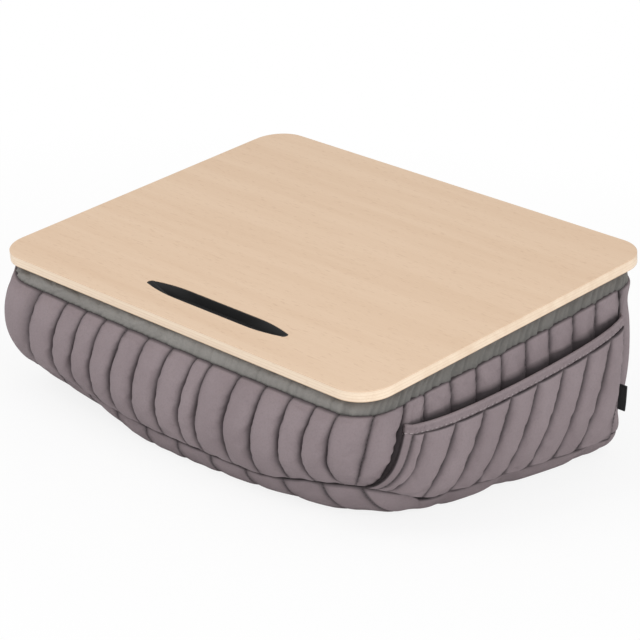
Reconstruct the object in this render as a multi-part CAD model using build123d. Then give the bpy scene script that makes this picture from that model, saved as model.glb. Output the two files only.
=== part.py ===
from build123d import *
from math import acos, asin, cos, pi, radians, sin, sqrt, tan
import os

# Lap tray with cushion: a sloping wood board on a wedge-shaped quilted cushion.
# The origin is the middle of the flat underside, +Z is up, and -Y is the user's side.
# All lengths are millimetres and all angles are degrees.

# Board
board_length = 520.0
board_depth = 392.0
board_thickness = 11.0
veneer_thickness = 1.0
board_corner_radius = 34.0
arris_radius = 0.7
board_slope = 10.5                # the back edge is the high one
front_edge_height = 138.0         # table to the top edge at the front

# Slot for a tablet or phone, and its moulded liner
slot_length = 194.0
slot_width = 20.0
slot_side_offset = 20.0           # the slot lies right of the middle
slot_front_distance = 44.0        # board's front edge to the slot's middle
slot_taper = 50.0                 # length of each narrowing end
slot_tip_width = 8.0
liner_fit = 0.15
liner_floor = 1.2
liner_lip = 1.2                   # rim left round the recess
liner_draft = 2.6                 # how far the recess narrows to its floor
liner_boat_run = 22.0             # how far the recess floor is shorter at each end
liner_sink = 0.4                  # rim below the board's face

# Hook and loop tape between board and cushion
strip_length = 110.0
strip_width = 25.0
strip_thickness = 0.8
strip_edge_distance = 62.0        # board's edge to the middle of a strip
strip_end_distance = 95.0

# Padded wall of the cushion, between its low seam and its top seam
roll_height = 15.0                # the top panel's rolled edge
seam_inset = 3.0                  # the seams lie behind the board's edge
low_seam_height = 24.0
front_bulge = 18.0
side_bulge = 5.0
back_bulge = 3.0
back_flare = 6.0                  # the back stands out just above the table
flare_power = 4                   # how quickly the flare dies away upwards
swell_power = 0.6                 # below 1 the bulge is broad, with tight turns at the seams
front_radius_top = 38.0
front_radius_low = 70.0
back_radius = 36.0
front_bow_top = 3.0
front_bow_low = 12.0
side_bow = 3.0
back_bow = 2.0
band_wall = 8.0                   # padding at a stitch line
band_puff = 6.0                   # how far a channel stands out of its stitch lines
side_puff = 4.0
seam_puff = 1.2
seam_gap = 0.3                    # between neighbouring sewn pieces
channel_pitch = 31.8
channel_shift = 5.8               # the middle stitch line lies right of the middle
left_plain_width = 74.0           # the front wall is plain this far from the left end
side_pitch = 33.0
side_first_line = 78.0            # board's front edge to the first stitch line
corner_seam_low = 32.0            # front edge to the seam of front and side wall
corner_seam_high = 55.0

# Bottom panel
bottom_roll = 22.0                # how far the flat underside lies inside the seam
bottom_radius = 95.0
bottom_bow = 22.0
bottom_pitch = 45.0
bottom_puff = 2.5
bottom_wall = 9.0
groove_width = 7.0
groove_depth = 2.2

# Top panel
top_wall = 8.0
top_crown_inset = 12.0            # flat top inside the rolled edge

# Pocket on the right side
mouth_front_height = 104.0
mouth_back_height = 154.0
mouth_dip = 5.0
mouth_gap = 9.5                   # the mouth stands this far off the side wall
mouth_full_share = 0.7            # share of the wall's height where the pocket stands off fully
mouth_end_power = 6               # how late the pocket turns in to its end seams
hem_depth = 9.5
hem_wall = 4.6
pocket_wall = 3.2
pocket_puff = 3.4
pocket_puff_low_share = 0.08      # part of the puff's sine curve at the foot
pocket_puff_run_share = 0.8       # and how much of the curve the height covers
pocket_pitch = 35.5
pocket_lean = 26.0                # a slanted channel's top lies this far behind its foot
pocket_first_line = 14.0          # pocket's front seam to its first stitch line
pocket_flange = 5.0               # strip at each end that is sewn into the seam

# Folded tag in the seam behind the pocket
tag_height = 26.0
tag_reach = 10.0
tag_cloth = 0.8
tag_fold_gap = 0.9
tag_low_height = 53.0
tag_seam_distance = 6.0
tag_seat = 0.9                    # gap between the ribbon and the wall

# Inner bag and filling
fill_clearance = 0.3
bag_wall = 1.5

# Zip low on the back wall
zip_length = 340.0
zip_height = 41.0                 # table to the middle of the teeth
zip_sink = 3.2                    # the tapes lie this far inside the wall
zip_margin = 2.0
zip_end_room = 20.0               # plain recess past each stop, for the puller
tape_width = 10.5
tape_thickness = 0.8
tooth_width = 5.6                 # across both rows
tooth_gap = 1.0                   # slit between the two rows
tooth_length = 3.2
tooth_pitch = 5.0
tooth_start_share = 0.25          # of a pitch, from the zip's end to the first tooth
tooth_thickness = 2.0
stop_length = 5.0
slider_length = 12.0
slider_width = 9.6
slider_plate = 1.1
slider_clearance = 0.25
slider_post = 0.5
slider_post_length = 4.0
slider_slot_depth = 2.6
bridge_length = 7.0
bridge_width = 2.0
bridge_thickness = 1.0
bridge_room = 2.4
puller_length = 30.0
puller_width = 7.6
puller_thickness = 1.4
puller_window = 5.4               # pivot to the far end of the puller's eye
puller_clearance = 0.35
puller_hole_radius = 1.6

# Levels at which the soft walls are drawn, as shares of their height
wall_rise_shares = (0.0, 0.06, 0.2, 0.42, 0.65, 0.85, 0.95, 1.0)
bottom_drop_shares = (0.0, 0.4, 0.7, 0.9, 0.98, 1.0)
roll_depth_shares = (1.0, 0.75, 0.45, 0.2, 0.06, 0.0)
taper_bend_share = 0.23           # halfway along a taper the slot has narrowed this much
overrun = 40.0                    # how far a cutter runs past what it cuts

# Sizes that follow from the ones above
slope = radians(board_slope)
half_length = board_length / 2
half_depth = board_depth * cos(slope) / 2
centre_height = front_edge_height + board_depth * sin(slope) / 2
cushion_depth = board_thickness + 2 * strip_thickness
seam_depth = cushion_depth + roll_height
seam_base = centre_height - seam_depth / cos(slope)
face_plane = Plane(origin=(0, 0, centre_height), x_dir=(1, 0, 0), z_dir=(0, -sin(slope), cos(slope)))

parts = {}


# The cushion's outline on one level: a bowed rectangle with round corners.
# Its plane has the height base at y = 0 and rises by tilt towards the back.
# A place on it is x, y and the two parts of the outward direction.
class Outline:
    def __init__(self, base, tilt, length, front, back, front_radius,
                 bow, rear_bow, flank_bow, puff, flank_puff):
        self.base = base
        self.tilt = tilt
        self.length = length
        self.front = front
        self.back = back
        self.front_radius = front_radius
        self.bow = bow
        self.rear_bow = rear_bow
        self.flank_bow = flank_bow
        self.puff = puff
        self.flank_puff = flank_puff
        self.front_run = length - front_radius
        self.back_run = length - back_radius
        self.side_start = front + bow + front_radius
        self.side_end = back - rear_bow - back_radius

    def corner_angle(self, x):
        return asin(max(abs(x) - self.front_run, 0) / self.front_radius)

    def at_front(self, x):
        if abs(x) > self.front_run:
            return self.at_front_corner(1 if x > 0 else -1, self.corner_angle(x))
        return x, self.front + self.bow * (x / self.front_run) ** 2, 0, -1

    def at_front_corner(self, hand, angle):
        x = self.front_run + self.front_radius * sin(angle)
        y = self.side_start - self.front_radius * cos(angle)
        return hand * x, y, hand * sin(angle), -cos(angle)

    def at_side(self, hand, y):
        if y < self.side_start:
            return self.at_front_corner(hand, acos((self.side_start - y) / self.front_radius))
        middle = (self.side_start + self.side_end) / 2
        share = (y - middle) / (self.side_end - middle)
        return hand * (self.length + self.flank_bow * (1 - share ** 2)), y, hand, 0

    def at_back_corner(self, hand, angle):
        x = self.back_run + back_radius * sin(angle)
        y = self.side_end + back_radius * cos(angle)
        return hand * x, y, hand * sin(angle), cos(angle)

    def at_back(self, x):
        return x, self.back - self.rear_bow * (x / self.back_run) ** 2, 0, 1

    def point(self, place, out=0.0):
        x = place[0] + place[2] * out
        y = place[1] + place[3] * out
        return Vector(x, y, self.base + self.tilt * y)


# Outline of the padded wall, from the low seam (rise 0) to the top seam (rise 1)
def wall_outline(rise):
    swell = sin(pi * rise) ** swell_power
    puff_share = sqrt(sin(pi * rise))
    return Outline(
        base=(1 - rise) * low_seam_height + rise * seam_base,
        tilt=rise * tan(slope),
        length=half_length - seam_inset + side_bulge * swell,
        front=-half_depth + seam_inset * rise - front_bulge * swell,
        back=half_depth - seam_inset + back_bulge * swell + back_flare * (1 - rise) ** flare_power,
        front_radius=front_radius_low + (front_radius_top - front_radius_low) * rise,
        bow=front_bow_low + (front_bow_top - front_bow_low) * rise,
        rear_bow=back_bow,
        flank_bow=side_bow,
        puff=seam_puff + (band_puff - seam_puff) * puff_share,
        flank_puff=seam_puff + (side_puff - seam_puff) * puff_share,
    )


# Outline of the bottom panel, from the low seam (drop 0) to the flat underside (drop 1)
def bottom_outline(drop):
    inset = bottom_roll * (1 - sqrt(1 - drop ** 2))
    seam = wall_outline(0)
    return Outline(
        base=(low_seam_height - seam_gap) * (1 - drop),
        tilt=0.0,
        length=seam.length - inset,
        front=seam.front + inset,
        back=seam.back - inset,
        front_radius=front_radius_low + (bottom_radius - front_radius_low) * drop,
        bow=front_bow_low + (bottom_bow - front_bow_low) * drop,
        rear_bow=back_bow,
        flank_bow=side_bow,
        puff=bottom_puff + (seam_puff - bottom_puff) * drop,
        flank_puff=seam_puff,
    )


# Outline of the top panel on the plane that lies depth under the board's face
def top_outline(depth, inset):
    seam = wall_outline(1)
    return Outline(
        base=centre_height - depth / cos(slope),
        tilt=tan(slope),
        length=half_length - inset,
        front=-half_depth + inset,
        back=half_depth - inset,
        front_radius=seam.front_radius,
        bow=seam.bow,
        rear_bow=seam.rear_bow,
        flank_bow=seam.flank_bow,
        puff=0.0,
        flank_puff=0.0,
    )


# Share of the wall's height that lies at a height above the table, at the back
def rise_at_back(height):
    return (height - low_seam_height) / (seam_base + half_depth * tan(slope) - low_seam_height)


# The y of the seam between front and side wall, which leans with the rise
def corner_seam(rise):
    return -half_depth + corner_seam_low + (corner_seam_high - corner_seam_low) * rise


def between(values):
    return [(a + b) / 2 for a, b in zip(values, values[1:])]


# Stitch lines keep their pitch when the cushion changes size
def lines_between(first, last, pitch, shift):
    low = -int((shift - first) / pitch)
    high = int((last - shift) / pitch)
    return [shift + pitch * k for k in range(low, high + 1)]


front_reach = half_length - front_radius_low / 2
front_lines = lines_between(left_plain_width - half_length, front_reach, channel_pitch, channel_shift)
back_reach = half_length - seam_inset - back_radius - channel_pitch / 2
back_lines = lines_between(-back_reach, back_reach, channel_pitch, 0)
bottom_reach = half_length - seam_inset - bottom_roll - groove_width
bottom_front_lines = lines_between(-bottom_reach, bottom_reach, bottom_pitch, bottom_pitch / 2)[1:]
bottom_back_lines = [x for x in bottom_front_lines if abs(x) < bottom_reach - back_radius]
side_reach = 2 * half_depth - back_radius - side_pitch / 2 - side_first_line
side_lines = [side_first_line - half_depth + side_pitch * k for k in range(int(side_reach / side_pitch) + 1)]


# A row is a list of stitch places and a list of crowns, one between each two
# places. A crown is a place with its puff, the height of the channel there.
def front_row(outline, rise):
    seam = corner_seam(rise)
    halves = []
    for hand in (-1, 1):
        end = outline.at_side(hand, seam)
        line_angle = outline.corner_angle(front_lines[0] if hand < 0 else front_lines[-1])
        end_angle = acos(max(outline.side_start - seam, 0) / outline.front_radius)
        turn = outline.at_front_corner(hand, (line_angle + end_angle) / 2)
        near = outline.at_front_corner(hand, (line_angle * 3 + end_angle) / 4)
        far = outline.at_side(hand, (turn[1] + end[1]) / 2)
        crowns = [(near, outline.flank_puff / 2), (far, outline.flank_puff / 4)]
        halves.append(([turn, end], crowns))
    left, right = halves
    stitches = left[0][::-1] + [outline.at_front(x) for x in front_lines] + right[0]
    middle = [(outline.at_front(x), outline.puff) for x in between(front_lines)]
    return stitches, left[1][::-1] + middle + right[1]


def side_row(outline, rise, hand):
    lines = [corner_seam(rise) + 2 * seam_gap] + side_lines + [outline.side_end - seam_gap]
    stitches = [outline.at_side(hand, y) for y in lines]
    crowns = [(outline.at_side(hand, y), outline.flank_puff) for y in between(lines)]
    return stitches, crowns


def back_row(outline):
    half_turn = radians(45)
    corners = []
    for hand in (1, -1):
        places = [outline.at_back_corner(hand, half_turn * k / 2) for k in range(4, 0, -1)]
        edge = outline.at_back(hand * (outline.back_run + abs(back_lines[0])) / 2)
        corners.append(([places[0], places[2]], [(places[1], 0.0), (edge, outline.puff / 2)]))
    right, left = corners
    stitches = right[0] + [outline.at_back(x) for x in reversed(back_lines)] + left[0][::-1]
    middle = [(outline.at_back(x), outline.puff) for x in reversed(between(back_lines))]
    return stitches, right[1] + middle + left[1][::-1]


# Arcs from point to point, each over its own crown
def arc_edges(points, crowns):
    edges = []
    for start, crown, end in zip(points, crowns, points[1:]):
        edges += ThreePointArc(start, crown, end).edges()
    return edges


# A closed section of a padded piece. Outside it has an arc over each channel, and
# inside straight chords. stand says how far the inner face stands off the outline.
def padded_section(outline, row, stand, wall):
    stitches, crowns = row
    outer = [outline.point(place, stand(place) + wall) for place in stitches]
    tops = [outline.point(place, stand(place) + wall + puff) for place, puff in crowns]
    places = stitches
    if stand(stitches[-1]) > 0:
        places = sorted(stitches + [place for place, puff in crowns], key=lambda place: place[1])
    inner = [outline.point(place, stand(place)) for place in reversed(places)]
    return Wire(arc_edges(outer, tops) + Polyline([outer[-1]] + inner + [outer[0]]).edges())


# A closed section of arcs right round the cushion, with a crown between each two
# of the given lines on the front and on the back
def loop_section(outline, front_stops, back_stops):
    side_middle = (outline.side_start + outline.side_end) / 2
    quarter = radians(90)
    turn = (outline.corner_angle(front_stops[-1]) + quarter) / 2
    back_ends = [outline.back_run] + back_stops[::-1] + [-outline.back_run]
    stops = [outline.at_front(x) for x in front_stops]
    stops += [outline.at_front_corner(1, quarter), outline.at_back_corner(1, quarter)]
    stops += [outline.at_back(x) for x in back_ends]
    stops += [outline.at_back_corner(-1, quarter), outline.at_front_corner(-1, quarter), stops[0]]
    right = [outline.at_front_corner(1, turn), outline.at_side(1, side_middle)]
    right.append(outline.at_back_corner(1, quarter / 2))
    left = [outline.at_back_corner(-1, quarter / 2), outline.at_side(-1, side_middle)]
    left.append(outline.at_front_corner(-1, turn))
    crowns = [outline.point(outline.at_front(x), outline.puff) for x in between(front_stops)]
    crowns += [outline.point(place) for place in right]
    crowns += [outline.point(outline.at_back(x), outline.puff) for x in between(back_ends)]
    crowns += [outline.point(place) for place in left]
    return Wire(arc_edges([outline.point(place) for place in stops], crowns))


# A closed section of straight chords, for what lies inside the padded walls
def ring_section(outline, rise, out):
    places = front_row(outline, rise)[0][1:-1:2]
    places += side_row(outline, rise, 1)[0][::2]
    places += back_row(outline)[0][1:-1:2]
    places += side_row(outline, rise, -1)[0][::-1][::2]
    return Wire.make_polygon([outline.point(place, out) for place in places], close=True)


def wall_band(row_of):
    sections = []
    for rise in wall_rise_shares:
        outline = wall_outline(rise)
        sections.append(padded_section(outline, row_of(outline, rise), lambda place: -band_wall, band_wall))
    return Solid.make_loft(sections)


# The inside of the cover, shrunk by inset: from the dish in the bottom panel, up
# the padded walls, and into the hollow under the top panel
def fill_body(inset):
    out = -band_wall - inset
    dish = bottom_outline(0)
    dish.base = bottom_wall + inset
    sections = [ring_section(dish, 0, out - bottom_roll / 2)]
    for rise in wall_rise_shares:
        sections.append(ring_section(wall_outline(rise), rise, out))
    crown = top_outline(cushion_depth + top_wall + inset, seam_inset)
    sections.append(ring_section(crown, 1, out))
    return Solid.make_loft(sections, ruled=True)


# Wood board
def rounded_sheet(low, high):
    sheet = extrude(RectangleRounded(board_length, board_depth, board_corner_radius), high - low)
    return Pos(0, 0, low) * sheet


# Outline of the slot: straight in the middle, narrowing to a small round tip
def slot_face(length, width, tip_width, taper):
    half = length / 2
    shoulder = half - taper
    tip = half - tip_width / 2
    bend = (shoulder + tip) / 2
    bend_width = (width - (width - tip_width) * taper_bend_share) / 2
    edges = []
    for hand in (1, -1):
        start = (hand * shoulder, hand * width / 2)
        middle = (hand * bend, hand * bend_width)
        end = (hand * tip, hand * tip_width / 2)
        edges.append(ThreePointArc(start, middle, end))
        edges.append(ThreePointArc(end, (hand * half, 0), (hand * tip, -hand * tip_width / 2)))
        edges.append(ThreePointArc((hand * tip, -hand * tip_width / 2), (hand * bend, -hand * bend_width),
                                   (hand * shoulder, -hand * width / 2)))
        edges.append(Line((hand * shoulder, -hand * width / 2), (-hand * shoulder, -hand * width / 2)))
    return make_face(Wire([edge for item in edges for edge in item.edges()]))


def make_board():
    slot_place = Pos(slot_side_offset, slot_front_distance - board_depth / 2, 0)
    slot = slot_face(slot_length, slot_width, slot_tip_width, slot_taper)
    slot_floor = veneer_thickness - board_thickness
    slot_cut = slot_place * Pos(0, 0, slot_floor) * extrude(slot, board_thickness)

    veneer = rounded_sheet(-veneer_thickness, 0)
    veneer = fillet(veneer.faces().sort_by(Axis.Z)[-1].edges(), arris_radius)
    parts["face_veneer"] = face_plane * (veneer - slot_cut)
    parts["board_core"] = face_plane * (rounded_sheet(slot_floor, -veneer_thickness) - slot_cut)
    back = rounded_sheet(-board_thickness, slot_floor)
    back = fillet(back.faces().sort_by(Axis.Z)[0].edges(), arris_radius)
    parts["back_veneer"] = face_plane * back

    outer = slot_face(slot_length - 2 * liner_fit, slot_width - 2 * liner_fit,
                      slot_tip_width - 2 * liner_fit, slot_taper)
    liner_height = -liner_sink - slot_floor
    liner = extrude(outer, liner_height)
    rim = slot_face(slot_length - 2 * (liner_fit + liner_lip), slot_width - 2 * (liner_fit + liner_lip),
                    slot_tip_width - 2 * liner_lip, slot_taper)
    sole = slot_face(slot_length - 2 * (liner_lip + liner_boat_run), slot_width - 2 * (liner_lip + liner_draft),
                     slot_tip_width - 2 * liner_lip, slot_taper)
    sole_wire = (Pos(0, 0, liner_floor) * sole).wires()[0]
    rim_wire = (Pos(0, 0, liner_height) * rim).wires()[0]
    recess = Solid.make_loft([sole_wire, rim_wire])
    recess = recess + Pos(0, 0, liner_height) * extrude(rim, overrun)
    parts["slot_liner"] = face_plane * slot_place * Pos(0, 0, slot_floor) * (liner - recess)


# Hook tape under the board, loop tape on the cushion
def make_strips():
    number = 0
    for side in (-1, 1):
        for end in (-1, 1):
            number += 1
            x = side * (half_length - strip_end_distance)
            y = end * (board_depth / 2 - strip_edge_distance)
            strip = Box(strip_length, strip_width, strip_thickness, align=(Align.CENTER, Align.CENTER, Align.MAX))
            parts[f"hook_strip_{number}"] = face_plane * Pos(x, y, -board_thickness) * strip
            parts[f"loop_strip_{number}"] = face_plane * Pos(x, y, -board_thickness - strip_thickness) * strip


def make_top_panel():
    sections = []
    for share in roll_depth_shares:
        depth = cushion_depth + (roll_height - seam_gap) * share
        inset = seam_inset + top_crown_inset * (1 - sqrt(1 - (1 - share) ** 2))
        outline = top_outline(depth, inset)
        sections.append(loop_section(outline, [-outline.front_run, outline.front_run], []))
    hollow_out = fill_clearance - band_wall
    low = ring_section(top_outline(seam_depth + overrun, seam_inset), 1, hollow_out)
    high = ring_section(top_outline(cushion_depth + top_wall, seam_inset), 1, hollow_out)
    parts["top_panel"] = Solid.make_loft(sections) - Solid.make_loft([low, high], ruled=True)


def make_bottom_panel():
    sections = []
    for drop in bottom_drop_shares:
        sections.append(loop_section(bottom_outline(drop), bottom_front_lines, bottom_back_lines))
    panel = Solid.make_loft(sections) - fill_body(0)
    groove = scale(Cylinder(groove_width / 2, board_depth + overrun), by=(1, 2 * groove_depth / groove_width, 1))
    for x in bottom_front_lines:
        panel -= Pos(x, 0, 0) * Rot(90, 0, 0) * groove
    parts["bottom_panel"] = panel


# Pocket: a padded patch with slanted channels, cut along its dipping mouth
def pocket_section(rise, wall, puff_height):
    outline = wall_outline(rise)
    start = corner_seam(rise) + 2 * seam_gap
    end = outline.side_end - seam_gap
    foot = -half_depth + corner_seam_low + pocket_first_line
    count = int((outline.side_end - foot - pocket_lean - pocket_flange) / pocket_pitch) + 1
    lines = [foot + pocket_lean * rise + pocket_pitch * k for k in range(count)]
    stops = [start, start + pocket_flange] + lines + [end - pocket_flange, end]

    def stand(place):
        if place[1] < start + pocket_flange / 2 or place[1] > end - pocket_flange / 2:
            return seam_gap
        share = (2 * place[1] - start - end) / (end - start)
        opening = mouth_gap * sin(pi / 2 * min(1, rise / mouth_full_share)) * (1 - share ** mouth_end_power)
        return outline.flank_puff + 2 * seam_gap + opening

    stitches = [outline.at_side(1, y) for y in stops]
    puff_share = sqrt(sin(pi * (pocket_puff_low_share + rise * pocket_puff_run_share)))
    puffs = [0] + [puff_height * puff_share] * (len(stops) - 3) + [0]
    middles = [outline.at_side(1, y) for y in between(stops)]
    crowns = list(zip(middles, puffs))
    return padded_section(outline, (stitches, crowns), stand, wall)


def above_mouth(lower):
    front = -half_depth + corner_seam_high
    back = half_depth - back_radius
    start = Vector(0, front, mouth_front_height - lower)
    end = Vector(0, back, mouth_back_height - lower)
    middle = (start + end) / 2 - Vector(0, 0, mouth_dip)
    ahead = Vector(0, front - overrun, mouth_front_height - lower)
    behind = Vector(0, back + overrun, mouth_back_height - lower)
    top = Vector(0, 0, mouth_back_height + overrun)
    corners = [behind, Vector(0, behind.Y, top.Z), Vector(0, ahead.Y, top.Z), ahead]
    edges = Line(ahead, start).edges() + ThreePointArc(start, middle, end).edges()
    edges += Line(end, behind).edges() + Polyline(corners).edges()
    return Solid.extrude(Face(Wire(edges)), Vector(half_length + overrun, 0, 0))


def make_pocket():
    panel = Solid.make_loft([pocket_section(rise, pocket_wall, pocket_puff) for rise in wall_rise_shares[:-1]])
    parts["pocket_panel"] = panel - above_mouth(hem_depth)
    hem = Solid.make_loft([pocket_section(rise, hem_wall, 0) for rise in wall_rise_shares[:-1]])
    hem = hem & above_mouth(hem_depth - seam_gap)
    parts["pocket_hem"] = hem - above_mouth(0)


# Folded ribbon that stands out of the seam behind the pocket
def make_tag():
    outline = wall_outline(rise_at_back(tag_low_height + tag_height / 2))
    depth = 2 * tag_cloth + tag_fold_gap
    y = outline.side_end + tag_seam_distance
    x = outline.length - tag_seam_distance ** 2 / (2 * back_radius) + tag_seat
    outside = Pos(x, y, tag_low_height) * Box(tag_reach, depth, tag_height,
                                              align=(Align.MIN, Align.CENTER, Align.MIN))
    outside = fillet(outside.edges().filter_by(Axis.Z).group_by(Axis.X)[-1], depth / 2 - arris_radius / 2)
    slit = Pos(x, y, tag_low_height) * Box(tag_reach - tag_cloth, tag_fold_gap, tag_height,
                                           align=(Align.MIN, Align.CENTER, Align.MIN))
    parts["side_tag"] = outside - slit


# Zip: two tapes with a row of teeth each, two stops, slider and puller
def zip_values():
    seat = wall_outline(rise_at_back(zip_height)).back - zip_sink
    return seat, seat + tape_thickness / 2


def make_zip():
    seat, middle = zip_values()
    tape_length = zip_length + 2 * (stop_length + zip_margin)
    low_middle = (Align.CENTER, Align.MIN, Align.MIN)
    tape = Box(tape_length, tape_thickness, tape_width, align=low_middle)
    parts["zip_tape_upper"] = Pos(0, seat, zip_height + tooth_width / 2) * tape
    parts["zip_tape_lower"] = Pos(0, seat, zip_height - tooth_width / 2 - tape_width) * tape

    tooth_height = (tooth_width - tooth_gap) / 2
    tooth = Box(tooth_length, tooth_thickness, tooth_height)
    count = int(zip_length / tooth_pitch)
    teeth = []
    for k in range(count):
        x = tooth_pitch * (k + tooth_start_share) + tooth_length / 4 - zip_length / 2
        off_middle = (tooth_width - tooth_height) / 2
        teeth.append(Pos(x, middle, zip_height + off_middle) * tooth)
        teeth.append(Pos(x + tooth_pitch / 4, middle, zip_height - off_middle) * tooth)
    parts["zip_teeth"] = Compound(children=teeth)
    stop = Box(stop_length, tooth_thickness, tooth_width)
    stops = [Pos(hand * (zip_length + stop_length) / 2, middle, zip_height) * stop for hand in (-1, 1)]
    parts["zip_stops"] = Compound(children=stops)

    half_room = tooth_thickness / 2 + slider_clearance
    slider_x = zip_length / 2 - slider_length / 2 - slider_clearance
    plate = Box(slider_length, slider_plate, slider_width)
    plate = fillet(plate.edges().filter_by(Axis.Y), slider_width / 4)
    slider = Pos(0, half_room + slider_plate / 2, 0) * plate
    slider += Pos(0, -half_room - slider_plate / 2, 0) * plate
    slider += Box(slider_post_length, 2 * half_room + slider_plate, slider_post)
    foot = half_room + slider_plate
    arch = Box(bridge_length, bridge_room + bridge_thickness, bridge_width, align=low_middle)
    arch = Pos(0, 0, -bridge_width / 2) * arch
    window = Box(bridge_length - 2 * bridge_thickness, bridge_room, bridge_width,
                 align=(Align.CENTER, Align.MIN, Align.CENTER))
    slider += Pos(0, foot, 0) * (arch - window)
    slider_place = Pos(slider_x, middle, zip_height)
    parts["zip_slider"] = slider_place * slider

    pivot = foot + bridge_room / 2
    eye_width = bridge_width + 2 * puller_clearance
    tab = Box(puller_length, puller_thickness, puller_width, align=(Align.MAX, Align.CENTER, Align.CENTER))
    tab = fillet(tab.edges().filter_by(Axis.Y).group_by(Axis.X)[0], puller_width / 3)
    tab -= Box(puller_window, 2 * puller_thickness, eye_width, align=(Align.MAX, Align.CENTER, Align.CENTER))
    hole = Cylinder(puller_hole_radius, 2 * puller_thickness, rotation=(90, 0, 0))
    tab -= Pos(-puller_length + puller_width / 2, 0, 0) * hole
    tab += Cylinder(puller_thickness / 2, puller_width)
    parts["zip_puller"] = slider_place * Pos(0, pivot, 0) * tab


def make_walls():
    parts["front_band"] = wall_band(front_row)
    parts["right_band"] = wall_band(lambda outline, rise: side_row(outline, rise, 1))
    parts["left_band"] = wall_band(lambda outline, rise: side_row(outline, rise, -1))
    back = wall_band(lambda outline, rise: back_row(outline))
    seat, middle = zip_values()
    recess_length = zip_length + 2 * (stop_length + zip_end_room)
    recess_height = tooth_width + 2 * (tape_width + seam_gap)
    centre_min = (Align.CENTER, Align.MIN, Align.CENTER)
    back -= Pos(0, seat, zip_height) * Box(recess_length, overrun, recess_height, align=centre_min)
    slot_size = slider_width + 4 * slider_clearance
    slot = Box(zip_length + 2 * stop_length, 2 * slider_slot_depth, slot_size)
    back -= Pos(0, seat, zip_height) * slot
    parts["back_band"] = back


def make_filling():
    parts["inner_bag"] = fill_body(fill_clearance) - fill_body(fill_clearance + bag_wall)
    parts["bead_filling"] = fill_body(2 * fill_clearance + bag_wall)


make_board()
make_strips()
make_walls()
make_top_panel()
make_bottom_panel()
make_pocket()
make_tag()
make_zip()
make_filling()

os.makedirs("parts", exist_ok=True)
for name, shape in parts.items():
    export_step(shape, f"parts/{name}.step")
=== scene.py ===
import bpy
import math
import numpy as np
from mathutils import Matrix, Vector


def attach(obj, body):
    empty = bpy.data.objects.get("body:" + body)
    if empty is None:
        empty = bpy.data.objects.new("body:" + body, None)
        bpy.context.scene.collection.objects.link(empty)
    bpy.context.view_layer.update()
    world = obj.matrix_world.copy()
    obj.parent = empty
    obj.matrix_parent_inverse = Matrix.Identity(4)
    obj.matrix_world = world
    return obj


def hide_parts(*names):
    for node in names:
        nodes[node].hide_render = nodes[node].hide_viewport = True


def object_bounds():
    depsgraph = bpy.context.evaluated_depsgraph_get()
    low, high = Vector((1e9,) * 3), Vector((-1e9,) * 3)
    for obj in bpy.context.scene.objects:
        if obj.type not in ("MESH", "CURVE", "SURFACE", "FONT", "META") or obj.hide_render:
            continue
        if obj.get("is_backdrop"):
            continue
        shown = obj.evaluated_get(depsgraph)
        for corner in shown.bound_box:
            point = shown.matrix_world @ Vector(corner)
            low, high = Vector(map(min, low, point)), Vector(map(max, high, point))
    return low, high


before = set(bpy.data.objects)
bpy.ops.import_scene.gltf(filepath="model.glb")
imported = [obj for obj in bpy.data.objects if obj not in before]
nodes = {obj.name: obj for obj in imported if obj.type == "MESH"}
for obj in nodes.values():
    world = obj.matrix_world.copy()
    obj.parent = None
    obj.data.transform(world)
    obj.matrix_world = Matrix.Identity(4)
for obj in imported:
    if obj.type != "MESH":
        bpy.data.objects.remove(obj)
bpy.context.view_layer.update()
mm = 0.001
pi = math.pi
print("frame loaded with", len(nodes), "solids")

# The wedge under the board, in millimetres and the part's own frame
wedge = {
    "slope": math.radians(10.5),
    "boardLength": 520.0,
    "boardDepth": 392.0,
    "frontEdge": 138.0,       # table to the board's top edge at the front
    "padDepth": 12.6,         # board and tape, down to the top of the cushion
    "rollHeight": 15.0,
    "seamInset": 3.0,
    "lowSeam": 24.0,
    "frontBulge": 18.0,
    "sideBulge": 5.0,
    "backBulge": 3.0,
    "backFlare": 6.0,
    "frontRadius": (70.0, 38.0),   # at the low seam and at the top seam
    "frontBow": (12.0, 3.0),
    "backRadius": 36.0,
    "backBow": 2.0,
    "sideBow": 3.0,
    "seamPuff": 1.2,
    "frontPuff": 6.0,
    "sidePuff": 4.0,
    "cornerSeam": (32.0, 55.0),    # front edge to the corner seam, low and high
}
slope = wedge["slope"]
halfLength = wedge["boardLength"] / 2
halfDepth = wedge["boardDepth"] * math.cos(slope) / 2
centreHeight = wedge["frontEdge"] + wedge["boardDepth"] * math.sin(slope) / 2
seamBase = centreHeight - (wedge["padDepth"] + wedge["rollHeight"]) / math.cos(slope)


def blendOf(pair, share):
    return pair[0] + (pair[1] - pair[0]) * share


def hill(place, middle, width):
    return np.exp(-((place - middle) / width) ** 2)


def wandering(place, quick, sway, slow):   # a wave that is never quite regular
    return np.sin(place * quick + sway * np.sin(place * slow))


def together(*parts):   # coordinates of any matching shapes as one array of points
    return np.stack(np.broadcast_arrays(*parts), -1)


def linked(name, data):
    made = bpy.data.objects.new(name, data)
    bpy.context.scene.collection.objects.link(made)
    return made


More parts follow.
